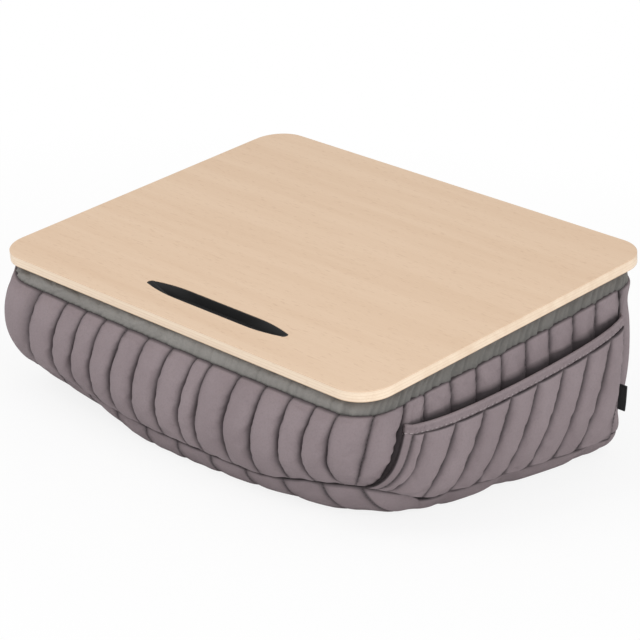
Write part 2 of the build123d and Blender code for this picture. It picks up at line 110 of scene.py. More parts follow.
def wallShape(rise):   # the outline at a share of the wall's height
    swell = np.sin(pi * np.clip(rise, 0, 1)) ** 0.6
    puffShare = np.sqrt(np.sin(pi * np.clip(rise, 0, 1)))
    return {
        "base": (1 - rise) * wedge["lowSeam"] + rise * seamBase,
        "tilt": rise * math.tan(slope),
        "length": halfLength - wedge["seamInset"] + wedge["sideBulge"] * swell,
        "front": wedge["seamInset"] * rise - halfDepth - wedge["frontBulge"] * swell,
        "back": (halfDepth - wedge["seamInset"] + wedge["backBulge"] * swell
                 + wedge["backFlare"] * (1 - rise) ** 4),
        "radius": blendOf(wedge["frontRadius"], rise),
        "bow": blendOf(wedge["frontBow"], rise),
        "puff": wedge["seamPuff"] + (wedge["frontPuff"] - wedge["seamPuff"]) * puffShare,
        "sidePuff": wedge["seamPuff"] + (wedge["sidePuff"] - wedge["seamPuff"]) * puffShare,
        "rise": rise,
    }


def topShape(depth, inset):   # the outline on a plane under the board's face
    seam = wallShape(np.ones_like(depth))
    seam.update({
        "base": centreHeight - depth / math.cos(slope),
        "tilt": math.tan(slope) + 0 * depth,
        "length": halfLength - inset,
        "front": inset - halfDepth,
        "back": halfDepth - inset,
    })
    return seam


def stretches(shape):   # lengths of the parts of the way from the front's middle to the back's
    run = shape["length"] - shape["radius"]
    corner = shape["radius"] * pi / 2
    start = shape["front"] + shape["bow"] + shape["radius"]
    end = shape["back"] - wedge["backBow"] - wedge["backRadius"]
    turn = wedge["backRadius"] * pi / 2
    backRun = shape["length"] - wedge["backRadius"]
    return run, corner, start, end, turn, backRun


def halfWay(shape):
    run, corner, start, end, turn, backRun = stretches(shape)
    return run + corner + end - start + turn + backRun


def wayAtX(shape, x):   # on the front and round its corners
    run = stretches(shape)[0]
    past = np.clip((abs(x) - run) / shape["radius"], 0, 1)
    return math.copysign(1, x) * np.where(past > 0, run + shape["radius"] * np.arcsin(past), abs(x))


def wayAtY(shape, y):   # on the right side and its front corner
    run, corner, start, end, turn, backRun = stretches(shape)
    bend = np.arccos(np.clip((start - y) / shape["radius"], 0, 1))
    return np.where(y < start, run + shape["radius"] * bend, run + corner + y - start)


def placeAt(shape, way):   # x, y and the outward direction; a way left of the middle is negative
    run, corner, start, end, turn, backRun = stretches(shape)
    whole = run + corner + end - start + turn + backRun
    hand = np.where(way < 0, -1.0, 1.0)
    s = np.abs(way)
    hand = np.where(s > whole, -hand, hand)
    s = np.where(s > whole, 2 * whole - s, s)
    bend = np.clip((s - run) / shape["radius"], 0, pi / 2)
    along = np.clip(s - run - corner, 0, end - start)
    sideEnd = run + corner + end - start
    rearBend = np.clip((s - sideEnd) / wedge["backRadius"], 0, pi / 2)
    rearX = backRun - np.clip(s - sideEnd - turn, 0, backRun)
    share = 2 * along / (end - start) - 1
    part = [s < run, s < run + corner, s < sideEnd, s < sideEnd + turn]
    x = np.select(part, [s, run + shape["radius"] * np.sin(bend),
                         shape["length"] + wedge["sideBow"] * (1 - share ** 2),
                         backRun + wedge["backRadius"] * np.cos(rearBend)], rearX)
    y = np.select(part, [shape["front"] + shape["bow"] * (s / run) ** 2,
                         start - shape["radius"] * np.cos(bend),
                         start + along, end + wedge["backRadius"] * np.sin(rearBend)],
                  shape["back"] - wedge["backBow"] * (rearX / backRun) ** 2)
    nx = np.select(part, [0 * s, np.sin(bend), 1 + 0 * s, np.cos(rearBend)], 0 * s)
    ny = np.select(part, [-1 + 0 * s, -np.cos(bend), 0 * s, np.sin(rearBend)], 1 + 0 * s)
    return hand * x, y, hand * nx, ny


def pointsAt(shape, way, out):
    x, y, nx, ny = placeAt(shape, way)
    x, y = x + nx * out, y + ny * out
    return np.stack([x, y, shape["base"] + shape["tilt"] * y], -1)


climbing = {
    "height": (6.0, 17.0),     # at the left and the right front corner
    "start": (30.0, 120.0),     # from the middle
    "run": 110.0,
    "fade": (25.0, 75.0),       # behind the front edge, and over how far
}


def eased(share):
    share = np.clip(share, 0, 1)
    return share * share * (3 - 2 * share)


def cornerLift(points):   # the low seam climbs towards the front corners
    hand = (points[..., 0] > 0).astype(float)
    past = eased((np.abs(points[..., 0]) - blendOf(climbing["start"], hand)) / climbing["run"])
    begin, fade = climbing["fade"]
    return blendOf(climbing["height"], hand) * past * (1 - eased((points[..., 1] + halfDepth - begin) / fade))


# The camera stands where the photograph was taken from
view = {
    "place": (1.7365, -1.75425, 0.9281),
    "right": (0.69664, 0.71470, 0.06252),
    "down": (0.26950, -0.17993, -0.94605),
    "ahead": (-0.66489, 0.67590, -0.31795),
    "lens": 148.29,
}
cameraData = bpy.data.cameras.new("camera")
cameraData.lens = view["lens"]
cameraData.sensor_width = 36
camera = linked("camera", cameraData)
turned = Matrix((view["right"], -Vector(view["down"]), -Vector(view["ahead"]))).transposed()
camera.matrix_world = Matrix.Translation(view["place"]) @ turned.to_4x4()
bpy.context.scene.camera = camera


# Materials
def tone(red, green, blue):   # a colour as seen, 0 to 255, for a node
    values = [c / 255 for c in (red, green, blue)]
    return tuple(c / 12.92 if c < 0.04045 else ((c + 0.055) / 1.055) ** 2.4 for c in values) + (1.0,)


class Socket:
    def __init__(self, paint, out):
        self.paint, self.out = paint, out

    def maths(self, operation, *values):
        return self.paint.node("ShaderNodeMath", {"operation": operation}, dict(enumerate(values)))

    def __add__(self, other):
        return self.maths("ADD", self, other)

    def __mul__(self, other):
        return self.maths("MULTIPLY", self, other)

    def __pow__(self, other):
        return self.maths("POWER", self, other)

    __radd__ = __add__
    __rmul__ = __mul__

    def wave(self):   # sine of the value
        return self.maths("SINE", self)

    def size(self):
        return self.maths("ABSOLUTE", self)


class Paint:
    def __init__(self, name, owner=None):   # a new material, or the world's nodes
        self.owner = bpy.data.materials.new(name) if owner is None else owner
        self.owner.use_nodes = True
        self.tree = self.owner.node_tree
        self.tree.nodes.clear()

    def node(self, kind, settings=None, inputs=None, output=0):
        made = self.tree.nodes.new(kind)
        for key, value in (settings or {}).items():
            setattr(made, key, value)
        for key, value in (inputs or {}).items():
            if isinstance(value, Socket):
                self.tree.links.new(value.out, made.inputs[key])
            else:
                made.inputs[key].default_value = value
        return Socket(self, made.outputs[output]) if made.outputs else made

    def place(self, scale=(1, 1, 1), turn=(0, 0, 0), source="Object"):
        if source == "Object":
            point = self.node("ShaderNodeTexCoord", output="Object")
        else:
            point = self.node("ShaderNodeUVMap", {"uv_map": source})
        return self.node("ShaderNodeMapping", None, {"Vector": point, "Scale": scale, "Rotation": turn})

    def noise(self, point, scale, detail=2.0, rough=0.5):
        return self.node("ShaderNodeTexNoise", None,
                         {"Vector": point, "Scale": scale, "Detail": detail, "Roughness": rough})

    def parts(self, point):
        made = self.node("ShaderNodeSeparateXYZ", None, {0: point}).out.node
        return [Socket(self, out) for out in made.outputs]

    def between(self, share, low, high):
        return self.node("ShaderNodeMapRange", {"clamp": True}, {0: share, 1: low, 2: high, 3: 0.0, 4: 1.0})

    def mix(self, share, first, second):
        return self.node("ShaderNodeMix", {"data_type": "RGBA"}, {0: share, 6: first, 7: second}, output=2)

    def bump(self, height, distance, under=None):
        inputs = {"Height": height, "Distance": distance, "Strength": 1.0}
        if under:
            inputs["Normal"] = under
        return self.node("ShaderNodeBump", None, inputs)

    def finish(self, **inputs):
        names = {"colour": "Base Color", "rough": "Roughness", "metal": "Metallic", "normal": "Normal",
                 "sheen": "Sheen Weight", "sheenRough": "Sheen Roughness", "sheenTint": "Sheen Tint",
                 "coat": "Coat Weight", "specular": "Specular IOR Level"}
        shader = self.node("ShaderNodeBsdfPrincipled", None, {names[k]: v for k, v in inputs.items()})
        self.node("ShaderNodeOutputMaterial", None, {0: shader})
        return self.owner


cloth = {
    "colour": tone(142, 129, 132),
    "light": tone(152, 139, 142),
    "dark": tone(122, 110, 113),
    "deep": tone(50, 45, 47),     # painted shade in the stitched grooves and along the seams
    "shade": 0.88,
    "grooveFade": 17.0,           # how fast the painted shade beside a stitch line ends within its channel
    "threads": 1500.0,            # a metre
    "weaveDepth": 0.00012,
}


def clothPaint(name, look, sheen):
    p = Paint(name)
    across, along, depth = p.parts(p.place(source="cloth"))
    threads = (across * (look["threads"] * pi)).wave().size() + (along * (look["threads"] * pi)).wave().size()
    cloud = p.noise(p.place(), 14.0, 3.0, 0.6)
    fibre = p.noise(p.place(), 520.0, 3.0, 0.7)
    colour = p.mix(p.between(cloud, 0.35, 0.7), look["colour"], look["light"])
    colour = p.mix(p.between(fibre, 0.45, 0.8) * 0.4, colour, look["dark"])
    # painted shade: the colour turns towards the deep colour where the piece's shade attribute is high
    paintedShade = p.node("ShaderNodeAttribute", {"attribute_name": "paintedShade"}, output="Fac")
    colour = p.mix(paintedShade * look["shade"], colour, look["deep"])
    rub = p.bump(fibre, 0.0002)
    return p.finish(colour=colour, rough=0.72 + 0.12 * cloud, normal=p.bump(threads, look["weaveDepth"], rub),
                    sheen=sheen, sheenRough=0.4, sheenTint=look["light"], specular=0.25)


quiltPaint = clothPaint("quilted cloth", cloth, 0.25)
topLook = {
    "colour": tone(138, 135, 131),
    "light": tone(148, 145, 141),
    "dark": tone(118, 115, 112),
    # painted shade on the roll
    "deep": tone(60, 60, 58),
    "shade": 0.6,
    "threads": 1100.0,
    "weaveDepth": 0.0001,
}
topPaint = clothPaint("plain grey cloth", topLook, 0.15)
innerLook = {
    "colour": tone(200, 198, 194),
    "light": tone(210, 208, 204),
    "dark": tone(180, 178, 175),
    "deep": tone(150, 148, 145),
    "shade": 0.5,
    "threads": 900.0,
    "weaveDepth": 0.0001,
}
innerPaint = clothPaint("inner bag cloth", innerLook, 0.0)

wood = {
    "face": tone(226, 198, 170),
    "streak": tone(217, 186, 156),
    "fleck": tone(205, 172, 142),
    "edge": tone(247, 227, 203),
    "edgeLine": tone(224, 198, 170),
}


def woodPaint(name, base, streak, fleck, plies):
    p = Paint(name)
    turn = (-slope, 0, 0)
    grain = p.noise(p.place((2.2, 46, 46), turn), 1.0, 6.0, 0.62)
    fine = p.noise(p.place((26, 900, 900), turn), 1.0, 3.0, 0.6)
    dash = p.noise(p.place((120, 700, 700), turn), 1.0, 1.0, 0.4)
    colour = p.mix(p.between(grain, 0.4, 0.72) * 0.7, base, streak)
    colour = p.mix(p.between(fine, 0.45, 0.8) * 0.35, colour, streak)
    colour = p.mix(p.between(dash, 0.62, 0.74) * 0.45, colour, fleck)
    height = fine * 0.5 + dash
    if plies:
        depth = p.parts(p.place((1, 1, 1), turn))[2]
        ply = p.between((depth * (2 * pi / 0.0029)).wave(), 0.55, 1.0)
        colour = p.mix(ply * 0.5, colour, wood["edgeLine"])
    return p.finish(colour=colour, rough=0.46 + 0.12 * fine, normal=p.bump(height, 0.00004),
                    coat=0.08, specular=0.4)


facePaint = woodPaint("board face", wood["face"], wood["streak"], wood["fleck"], False)
edgePaint = woodPaint("board edge", wood["edge"], wood["face"], wood["edgeLine"], True)


def plainPaint(name, colour, rough, grain, depth, metal=0.0):
    p = Paint(name)
    spots = p.noise(p.place(), grain, 3.0, 0.6)
    worn = p.noise(p.place(), grain / 12, 2.0)
    shade = p.mix(p.between(worn, 0.4, 0.8) * 0.25, colour, tuple(c * 1.5 for c in colour[:3]) + (1.0,))
    return p.finish(colour=shade, rough=rough - 0.08 + 0.16 * spots, metal=metal, normal=p.bump(spots, depth))


linerPaint = plainPaint("black liner", tone(9, 9, 10), 0.6, 1400.0, 0.00005)
zipPlasticPaint = plainPaint("zip teeth", tone(98, 90, 92), 0.42, 900.0, 0.00002)
zipMetalPaint = plainPaint("zip metal", tone(92, 88, 88), 0.32, 1200.0, 0.00002, 0.9)


def ribbonPaint(name, colour, step, depth):
    p = Paint(name)
    x, y, z = p.parts(p.place())
    ribs = (z * (2 * pi / step)).wave() + ((x + y) * (2 * pi / step)).wave() * 0.6
    fuzz = p.noise(p.place(), 900.0, 3.0, 0.7)
    pale = tuple(min(1, c * 2.2) for c in colour[:3]) + (1.0,)
    shade = p.mix(p.between(fuzz, 0.4, 0.8) * 0.5, colour, pale)
    return p.finish(colour=shade, rough=0.8, normal=p.bump(ribs + fuzz, depth), sheen=0.3, sheenRough=0.4)


tagPaint = ribbonPaint("black ribbon", tone(24, 24, 26), 0.0011, 0.00012)
tapePaint = ribbonPaint("zip tape", tone(112, 103, 106), 0.0009, 0.0001)
stripPaint = ribbonPaint("hook and loop tape", tone(34, 34, 36), 0.0021, 0.0003)
threadPaint = ribbonPaint("quilting thread", tone(84, 76, 78), 0.0004, 0.00005)
hemThreadPaint = ribbonPaint("hem thread", tone(176, 167, 168), 0.0004, 0.00005)
print("materials made")


# Meshes
def meshOf(name, points, faces, paint, uv):
    mesh = bpy.data.meshes.new(name)
    mesh.from_pydata([tuple(p) for p in points], [], faces)
    layer = mesh.uv_layers.new(name="cloth")
    loops = np.empty(len(mesh.loops), dtype=np.int32)
    mesh.loops.foreach_get("vertex_index", loops)
    layer.data.foreach_set("uv", np.asarray(uv, dtype=np.float32)[loops].ravel())
    mesh.materials.append(paint)
    mesh.polygons.foreach_set("use_smooth", [True] * len(mesh.polygons))
    return linked(name, mesh)


def gridFaces(rows, columns, loop=False, hand=1):   # hand -1 turns them over
    last = columns if loop else columns - 1
    return [(r * columns + c, r * columns + (c + 1) % columns,
             (r + 1) * columns + (c + 1) % columns, (r + 1) * columns + c)[::hand]
            for r in range(rows - 1) for c in range(last)]


def shareOf(number, count):   # columns crowd towards the stitch lines
    return 0.35 * number / count + 0.65 * (1 - math.cos(pi * number / count)) / 2


def spaced(stops, counts):   # columns between stitch lines, and where each lies in its channel
    ways, shares = [], []
    for k, count in enumerate(counts):
        for number in range(count):
            share = shareOf(number, count)
            ways.append(stops[:, k] * (1 - share) + stops[:, k + 1] * share)
            shares.append(share)
    return np.stack(ways + [stops[:, -1]], 1), np.array(shares + [0.0])


def pillow(share):   # a stuffed channel: steep beside its stitches, broad on top
    return (1 - np.abs(2 * share - 1) ** 4.2) ** 0.52


def seated(rows):   # rises that crowd towards the two seams
    t = np.linspace(0, 1, rows)
    return 0.6 * t + 0.4 * (1 - np.cos(pi * t)) / 2


def lengthsAlong(path):
    return np.concatenate([[0], np.cumsum(np.linalg.norm(np.diff(path, axis=0), axis=1))])


def clothMap(points):
    along = lengthsAlong(points[len(points) // 2])
    up = lengthsAlong(points[:, points.shape[1] // 2])
    return together(along[None, :], up[:, None]).reshape(-1, 2)


def sheetOf(name, grid, faces, paint):   # from a grid of points in millimetres
    return meshOf(name, grid.reshape(-1, 3) * mm, faces, paint, clothMap(grid * mm))


def tucked(points, inward, depth):   # one more row and column all round, folded in at the seams
    low, high = points[:1] + inward[:1] * depth, points[-1:] + inward[-1:] * depth
    rows = np.concatenate([low, points, high])
    turn = np.concatenate([inward[:1], inward, inward[-1:]])
    return np.concatenate([rows[:, :1] + turn[:, :1] * depth, rows, rows[:, -1:] + turn[:, -1:] * depth], 1)


swelling = []   # pieces that wait for the cloth run
sewn = []       # pieces with rows of stitches


def floatLayer(piece, name, values, domain="POINT"):
    layer = piece.data.attributes.new(name, "FLOAT", domain)
    layer.data.foreach_set("value", np.asarray(values, dtype=np.float32).ravel())


def vectorsOf(mesh, what="co"):   # each vertex's place or normal
    values = np.empty(len(mesh.vertices) * 3)
    mesh.vertices.foreach_get(what, values)
    return values.reshape(-1, 3)


def quiltedPiece(name, points, inward, held, shares, cap, hand=1, tuck=5.0, shaded=None):
    grid = tucked(points, inward, tuck) * mm
    pins = np.pad(held, 1, constant_values=1.0)
    rows, columns = grid.shape[:2]
    piece = meshOf(name, grid.reshape(-1, 3), gridFaces(rows, columns, hand=hand), quiltPaint, clothMap(grid))
    lines = [c + 1 for c in np.flatnonzero(shares == 0) if 0 < c < len(shares) - 1]
    ends = np.empty(len(piece.data.edges) * 2, dtype=np.int32)
    piece.data.edges.foreach_get("vertices", ends)
    ends = ends.reshape(-1, 2)
    onLine = (ends[:, 0] % columns == ends[:, 1] % columns) & np.isin(ends[:, 0] % columns, lines)
    floatLayer(piece, "crease_edge", onLine * 0.85, "EDGE")
    # painted shade: darker close to each stitch line, and fully dark on the two outermost rows and columns at
    # the seams
    closeness = np.exp(-np.minimum(shares, 1 - shares) * cloth["grooveFade"])
    paintedShade = np.zeros((rows, columns))
    paintedShade[1:-1, 1:-1] = closeness[None, :]
    paintedShade[:2] = paintedShade[-2:] = 1
    paintedShade[:, :2] = paintedShade[:, -2:] = 1
    # painted shadow from the given shade, such as behind the pocket's mouth
    if shaded is not None:
        paintedShade[1:-1, 1:-1] = np.maximum(paintedShade[1:-1, 1:-1], shaded)
    floatLayer(piece, "paintedShade", paintedShade)
    swelling.append((piece, pins.ravel(), cap))
    sewn.append((piece, rows, columns, lines))
    return piece


pocket = {
    "firstLine": 14.0,
    "pitch": 35.5,
    "lines": 8,
    "lean": 26.0,
    "flange": 5.0,
    "wall": 3.2,
    "puff": 3.4,
    "valley": 1.6,
    "tuck": 2.6,
    "thickness": 2.2,
    "gap": 9.5,               # how far the mouth stands off the wall
    "fullShare": 0.7,
    "hemDepth": 9.5,
    "hemWall": 3.9,
    "mouth": (104.0, 154.0),
    "dip": 5.0,
    "rows": 34,
    "shadow": (2.5, 4.0),     # the shade behind starts this far over the mouth, and takes this far
    "hemStitch": 2.4,
    "hemRipple": (0.5, 0.18),
    "hemWaves": (1.9, 0.83),
}


def mouthHeight(y):
    first, last = wedge["cornerSeam"][1] - halfDepth, halfDepth - wedge["backRadius"]
    share = (y - first) / (last - first)
    return blendOf(pocket["mouth"], share) - pocket["dip"] * (1 - (2 * share - 1) ** 2)


def behindPocket(points):   # little light falls behind the pocket's mouth
    over, fade = pocket["shadow"]
    return np.clip((mouthHeight(points[..., 1]) + over - points[..., 2]) / fade, 0, 1)


quilt = {
    "rows": 40,
    "step": 2.45,             # between columns
    "middleLine": 5.8,
    "pitch": 31.8,
    "linesLeft": 6,
    "linesRight": 7,
    "drift": (-4.7, 4.3, 2.4, 0, 0, 0, 2.3, 4.4, -6.8, 0, 2.0, 4.2, 2.2, -2.9),   # of each front line
    "wander": 0.8,
    "thickness": 3.0,
    "seamGap": 0.6,           # between two sewn pieces
    "sideFirst": 78.0,
    "sidePitch": 33.0,
    "sideLines": 8,
    "backLines": 6,           # each side of the middle
    "startPuff": 0.85,        # share of the full puff before the cloth run
    "valley": 1.7,            # how far the stitches pull the cloth in
    "foldDepth": 3.4,         # the corner seams lie deep
    "foldWidth": 2.8,
    "crinkle": 1.0,
    "frill": 1.3,             # small gathers along the seams
    "scallop": 1.6,
    "slack": (7.5, -322.0, 66.0),     # less stuffing at the front left corner: depth, place, width
    "climb": (11.5, -275.0, 30.0),    # the cloth climbs over the roll there
    "lowCalm": (0.5, 0.35),           # flatter channels near the table
    "seatY": 191.85,          # the zip's tapes lie on this
    "seatGap": 0.3,
    "flap": 3.0,              # from the wall's face down to the tapes
    "zipHeight": 41.0,
    "zipRoom": (195.0, 13.9),
}
# Gathers and crumples that the seams pull into the wall
gathers = {
    "crumple": (4.0, 5.0),            # how far from the corner seam, and how wide
    "crumpleWave": (38, 2, 11),
    "fade": (9, 16),                  # below the top seam, and above the low one
    "lowShare": 0.6,
    "corner": (30, 25),               # the part beside a corner seam, and how far it fades
    "strength": (0.5, 1.7),           # on the front, and more by the corners
    "wave": (0.93, 2, 0.11),
    "beat": 0.31,
    "ends": 12,
}
rise = seated(quilt["rows"])[:, None]
wall = wallShape(rise)
seamY = blendOf(wedge["cornerSeam"], rise) - halfDepth
seamWay = wayAtY(wall, seamY)
seamGap = quilt["seamGap"]


def inwardAt(way):
    return -np.stack([*placeAt(wall, way)[2:], 0 * way], -1)


def wander(way, number):   # no line is sewn quite straight
    bend = np.sin(rise * 4.0 + number * 2.3) + 0.25 * np.sin(rise * 17.0 + number * 5.1)
    return way + quilt["wander"] * bend * np.sin(pi * rise)


def countsFor(stops):
    middle = stops[len(stops) // 2]
    return [max(4, round(gap / quilt["step"])) for gap in np.diff(middle)]


def wallPiece(name, stops, puffs, cap, cut=None, shade=None):
    stops = np.concatenate(stops, 1)
    counts = countsFor(stops)
    ways, shares = spaced(stops, counts)
    heights = np.concatenate([[puff] * count for puff, count in zip(puffs, counts)] + [[0.0]])
    sideways = placeAt(wall, ways)[2]
    full = wall["puff"] + (wall["sidePuff"] - wall["puff"]) * sideways ** 2
    depth = quilt["valley"] * np.sqrt(np.sin(pi * rise))
    calm, upTo = quilt["lowCalm"]
    full = full * blendOf((calm, 1.0), np.clip(rise / upTo, 0, 1))
    out = full * pillow(shares) * heights * quilt["startPuff"] - depth * (1 - pillow(shares))
    slack, slackWay, slackWidth = quilt["slack"]
    out = out - slack * hill(ways, slackWay, slackWidth) * np.sin(pi * rise ** 1.7)
    fromSeam = np.abs(np.abs(ways) - seamWay)
    out = out - quilt["foldDepth"] * hill(fromSeam, 0, quilt["foldWidth"]) * np.sqrt(np.sin(pi * rise))
    away, width = gathers["crumple"]
    crumple = wandering(rise, *gathers["crumpleWave"]) * hill(fromSeam, away, width)
    out = out + quilt["crinkle"] * crumple * np.sin(pi * rise)
    high, low = gathers["fade"]
    gather = np.exp(-(1 - rise) * high) + gathers["lowShare"] * np.exp(-rise * low)
    room, fade = gathers["corner"]
    fromCorner = np.exp(-np.maximum(0, fromSeam - room) / fade)
    frills = wandering(ways, *gathers["wave"]) * np.sin(ways * gathers["beat"] + 1)
    plain, more = gathers["strength"]
    strength = quilt["frill"] * (plain + sideways ** 2 + more * fromCorner * sideways ** 2)
    ends = np.minimum(1, gathers["ends"] * rise), np.minimum(1, gathers["ends"] * (1 - rise))
    out = out + gather * frills * strength * ends[0] * ends[1]
    points = pointsAt(wall, ways, out)
    points[..., 2] += quilt["scallop"] * (1 + 0.6 * sideways ** 2) * pillow(shares) * heights * rise ** 8
    points[..., 2] += cornerLift(points) * (1 - rise) ** 1.5
    climb, climbWay, climbWidth = quilt["climb"]
    points[..., 2] += climb * hill(ways, climbWay, climbWidth) * rise ** 3
    held = np.zeros(points.shape[:2])
    held[:, shares == 0] = 1
    held[0], held[-1] = 1, 1
    if cut:
        points, held = cut(points, held)
    shaded = shade(points) if shade else None
    return quiltedPiece(name, points, inwardAt(ways), held, shares, cap, shaded=shaded)


frontXs = [quilt["middleLine"] + quilt["pitch"] * k + drift
           for k, drift in zip(range(-quilt["linesLeft"], quilt["linesRight"] + 1), quilt["drift"])]
frontStops = [-seamWay] + [wander(wayAtX(wall, x), k) for k, x in enumerate(frontXs)]
lastStop = frontStops[-1]
frontStops += [lastStop + (seamWay - lastStop) * 0.5, seamWay]
frontPuffs = [0.45] + [1.0] * (len(frontXs) - 1) + [0.7, 0.4]
quiltFront = wallPiece("quiltedFront", frontStops, frontPuffs, 2.4)

sideYs = [quilt["sideFirst"] - halfDepth + quilt["sidePitch"] * k for k in range(quilt["sideLines"])]
sideStops = [seamWay + seamGap] + [wander(wayAtY(wall, y), k + 20) for k, y in enumerate(sideYs)]
sideStops.append(wayAtY(wall, stretches(wall)[3]) - seamGap)
quiltRight = wallPiece("quiltedSideRight", sideStops, [1.0] * (len(sideYs) + 1), 3.0, shade=behindPocket)
leftStops = [-stop for stop in sideStops[::-1]]
quiltLeft = wallPiece("quiltedSideLeft", leftStops, [1.0] * (len(sideYs) + 1), 3.0)


def zipRecess(points, held):   # the cloth folds in over the zip's tapes
    x, y, z = points[..., 0], points[..., 1], points[..., 2]
    past = np.maximum(np.abs(x) - quilt["zipRoom"][0], np.abs(z - quilt["zipHeight"]) - quilt["zipRoom"][1])
    flap = np.clip(past / quilt["flap"], 0, 1)
    seat = quilt["seatY"] - quilt["seatGap"]
    back = y > halfDepth - 30
    near = back & (past < quilt["flap"])
    points[..., 1] = np.where(back & (past < 0), seat, np.where(near, seat * (1 - flap) + y * flap, y))
    held = np.where(near, 1.0, held)
    return points, held


whole = halfWay(wall)
backXs = [quilt["pitch"] * k for k in range(-quilt["backLines"], quilt["backLines"] + 1)]
backStops = [sideStops[-1] + 2 * seamGap] + [wander(whole - x, k + 40) for k, x in enumerate(backXs[::-1])]
backStops.append(2 * whole - sideStops[-1] - 2 * seamGap)
backPuffs = [0.5] + [1.0] * (len(backXs) - 1) + [0.5]
quiltBack = wallPiece("quiltedBack", backStops, backPuffs, 3.0, zipRecess)
print("wall pieces made")


# Top panel: a rolled edge, and a low crown under the board
topPad = {
    "columns": 760,
    "rollRows": 12,
    "flatRows": 26,
    "crownInset": 12.0,
    "fold": (0.5, 1.0, 0.9),      # gathers on the front, more on the sides, more by the front corners
    "coarse": (0.41, 3.4, 0.043),
    "fine": (0.83, 3, 0.05),
    "fineShare": 0.3,
    "beats": (0.137, 0.053),
    "cornerWay": 262.0,           # the front corners, from the front's middle
    "cornerWidth": 45.0,
    "sideShade": 0.72,
    "seamShade": (0.75, 7.0),     # and how fast it ends up the roll
}
turnDown = np.linspace(0, pi / 2, topPad["rollRows"])[:, None]
rollDepth = wedge["padDepth"] + (wedge["rollHeight"] - 0.3) * (1 - np.sin(turnDown))
rollInset = wedge["seamInset"] + topPad["crownInset"] * (1 - np.cos(turnDown))
roll = topShape(rollDepth, rollInset)
around = np.linspace(0, 2, topPad["columns"], endpoint=False)[None, :] * halfWay(roll)
sideways = placeAt(roll, around)[2] ** 2
cornerShare = hill(np.minimum(around, 2 * halfWay(roll) - around), topPad["cornerWay"], topPad["cornerWidth"])
onFront, onSides, byCorners = topPad["fold"]
coarse, fine = wandering(around, *topPad["coarse"]), wandering(around, *topPad["fine"])
beats = [around * beat for beat in topPad["beats"]]
folds = coarse * np.sin(beats[0] + 1) * np.sin(beats[1] + 2) + topPad["fineShare"] * fine
strength = (onFront + onSides * sideways + byCorners * cornerShare) * np.cos(turnDown) ** 0.8
rollPoints = pointsAt(roll, around, folds * strength * np.clip(turnDown * 6, 0, 1) + 0 * turnDown)
edge = rollPoints[-1]
centre = edge.mean(0)
shrink = (1 - np.linspace(0, 1, topPad["flatRows"] + 1)[1:-1] ** 0.9)[:, None, None]
flatPoints = centre + (edge - centre) * shrink
topTuck = rollPoints[:1] * [0.985, 0.985, 1]
topGrid = np.concatenate([topTuck, rollPoints, flatPoints])
topRows = len(topGrid)
topFaces = gridFaces(topRows, topPad["columns"], True)
tip = topRows * topPad["columns"]
ring = tip - topPad["columns"]
topFaces += [(ring + c, ring + (c + 1) % topPad["columns"], tip) for c in range(topPad["columns"])]
topPoints = np.concatenate([topGrid.reshape(-1, 3), [centre]]) * mm
topPiece = meshOf("topPanel", topPoints, topFaces, topPaint, topPoints[:, :2])
# painted shade on the roll: darker on the sides, in the hollows of its folds and near the top seam, and fully
# dark on the tucked row
topPaintedShade = np.zeros((topRows, topPad["columns"]))
hollowShade = np.clip(-folds, 0, 1) * strength / 2.4
seamShade, shadeFade = topPad["seamShade"]
shades = topPad["sideShade"] * sideways + hollowShade + seamShade * np.exp(-turnDown * shadeFade)
topPaintedShade[1:topPad["rollRows"] + 1] = np.clip(shades, 0, 1)
topPaintedShade[0] = 1
floatLayer(topPiece, "paintedShade", np.concatenate([topPaintedShade.ravel(), [0.0]]))
topHeld = np.ones((topRows, topPad["columns"]))
topHeld[2:topPad["rollRows"] + 2] = 0
swelling.append((topPiece, np.concatenate([topHeld.ravel(), [1.0]]), 2.0))
print("top panel made")


# Bottom panel: channels from front to back, flat where it stands
base = {
    "roll": 22.0,
    "pitch": 45.0,
    "lines": 10,
    "grooveDepth": 1.4,
    "radius": (70.0, 95.0),
    "bow": (12.0, 22.0),
    "rows": 62,
    "heel": 10.0,              # the front left corner stands clear of the table
    "heelSide": (30, 100),     # left of the middle, and over how far it grows
    "heelBack": (50, 140),     # behind the front edge, and over how far it fades
    "step": 4.4,               # between columns
}
seam = wallShape(np.zeros(1))


def bottomShape(drop):
    inset = base["roll"] * (1 - np.sqrt(1 - drop ** 2))
    shape = dict(seam)
    shape.update({
        "length": seam["length"] - inset,
        "front": seam["front"] + inset,
        "back": seam["back"] - inset,
        "radius": blendOf(base["radius"], drop),
        "bow": blendOf(base["bow"], drop),
    })
    return shape


